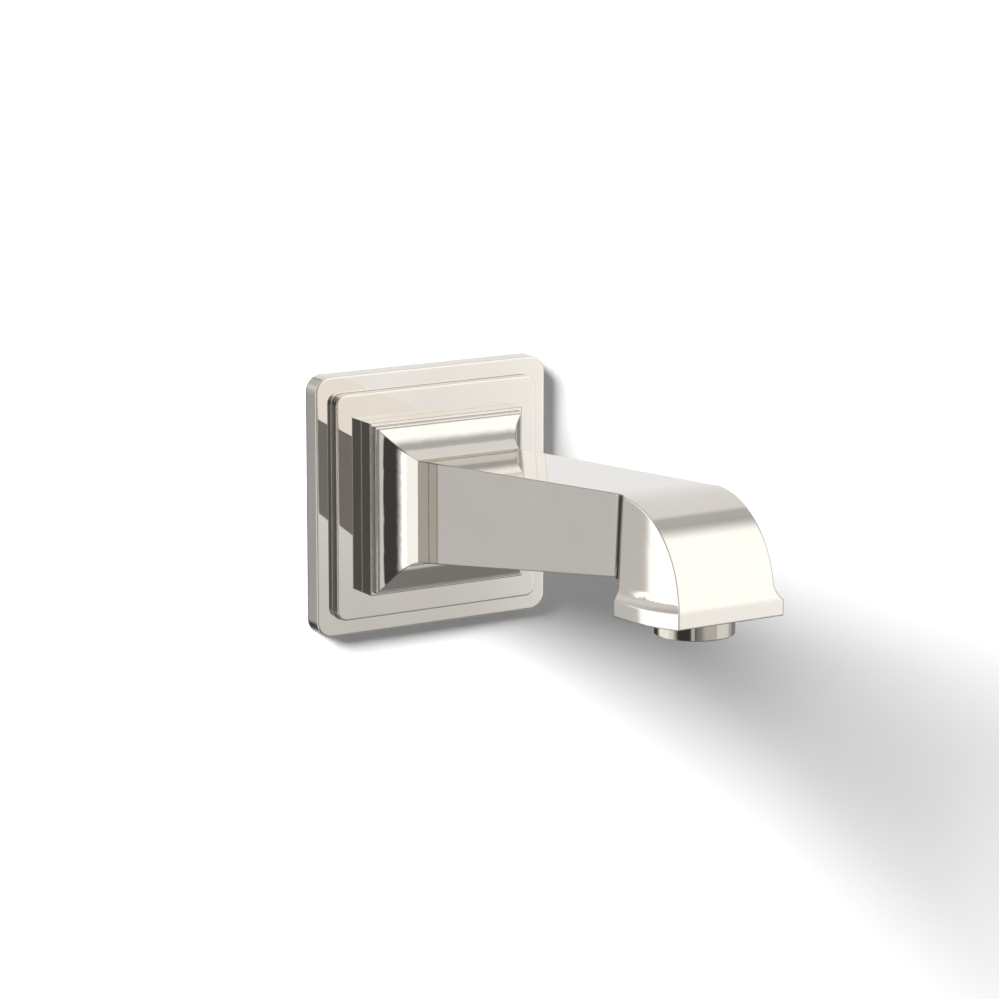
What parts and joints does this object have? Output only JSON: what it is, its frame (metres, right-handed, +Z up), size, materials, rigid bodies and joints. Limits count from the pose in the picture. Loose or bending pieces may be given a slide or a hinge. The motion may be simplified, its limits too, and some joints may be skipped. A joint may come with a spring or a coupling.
{
  "type": "wall mounted bath faucet spout",
  "caption": "Wall mounted bath spout with a stepped square escutcheon, mitred cove, tapered rising arm, quarter-round head and a pull-down diverter ring.",
  "frame": {"origin": "centre of the escutcheon's back face on the wall, on the inlet's axis", "axes": "+Y into the wall along the inlet, -Y out of the wall along the spout, +X to the right seen from the front, +Z up"},
  "size_m": [0.095, 0.2002, 0.095],
  "materials": {
    "polished_nickel": "polished nickel plate on brass",
    "raw_brass": "machined",
    "seal_rubber": "moulded",
    "foam": "closed-cell foam",
    "white_plastic": "moulded acetal",
    "fibre": "red fibre",
    "steel": "stainless"
  },
  "bodies": {
    "spout": {"spout_body": "polished_nickel", "escutcheon": "polished_nickel", "escutcheon_gasket": "foam", "collar_seal": "seal_rubber", "inlet_adapter": "raw_brass", "adapter_o_rings": "seal_rubber", "inlet_washer": "fibre", "set_screw": "steel", "outlet_insert": "raw_brass", "seat_gasket": "fibre", "stem_bush": "white_plastic", "return_spring": "steel"},
    "pull_ring": {"diverter_ring": "polished_nickel", "ring_o_ring": "seal_rubber", "flow_straightener": "white_plastic", "straightener_washer": "seal_rubber", "diverter_spider": "raw_brass", "diverter_stem": "raw_brass", "seal_retainer": "steel", "diverter_seal": "seal_rubber", "diverter_plug": "raw_brass", "stem_nut": "raw_brass"}
  },
  "joints": [
    {"name": "diverter_pull", "type": "slide", "parent": "spout", "child": "pull_ring", "axis": [0, 0, -1], "range_m": [0, 0.0055], "stiffness_N_per_m": 300, "springref_m": -0.004, "deforming": ["return_spring"]}
  ]
}
